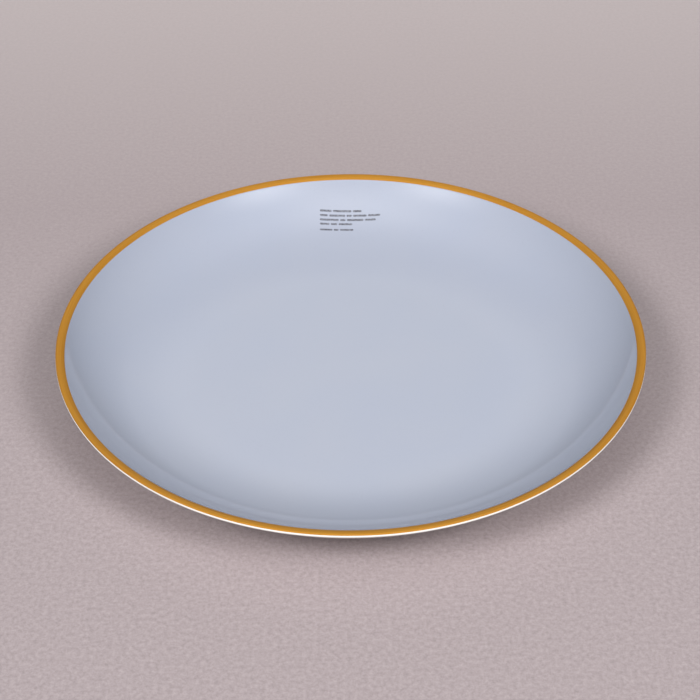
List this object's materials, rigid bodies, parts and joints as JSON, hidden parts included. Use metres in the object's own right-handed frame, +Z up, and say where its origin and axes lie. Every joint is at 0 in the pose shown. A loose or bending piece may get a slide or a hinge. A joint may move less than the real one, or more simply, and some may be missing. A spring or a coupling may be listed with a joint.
{
  "type": "dinner plate",
  "caption": "Round coupe dinner plate with a flat middle, a curved rising wall, a gilded lip and a low foot ring underneath.",
  "frame": {"origin": "on the table, in the middle of the foot ring", "axes": "+Z up along the plate's axis; -Y is the front; +Y is the back, where the small print is; +X is to the right seen from the front"},
  "size_m": [0.27, 0.27, 0.0311],
  "materials": {
    "bare_porcelain": "unglazed, fine matt",
    "coloured_glaze": "glossy pale blue-grey glaze",
    "white_glaze": "glossy white glaze",
    "gold": "fired burnished gold, satin-bright",
    "ink": "dark fired ink"
  },
  "bodies": {
    "root": {"porcelain_body": "bare_porcelain", "face_glaze": "coloured_glaze", "underside_glaze": "white_glaze", "recess_glaze": "white_glaze", "gold_band": "gold", "care_print": "ink"}
  },
  "joints": []
}
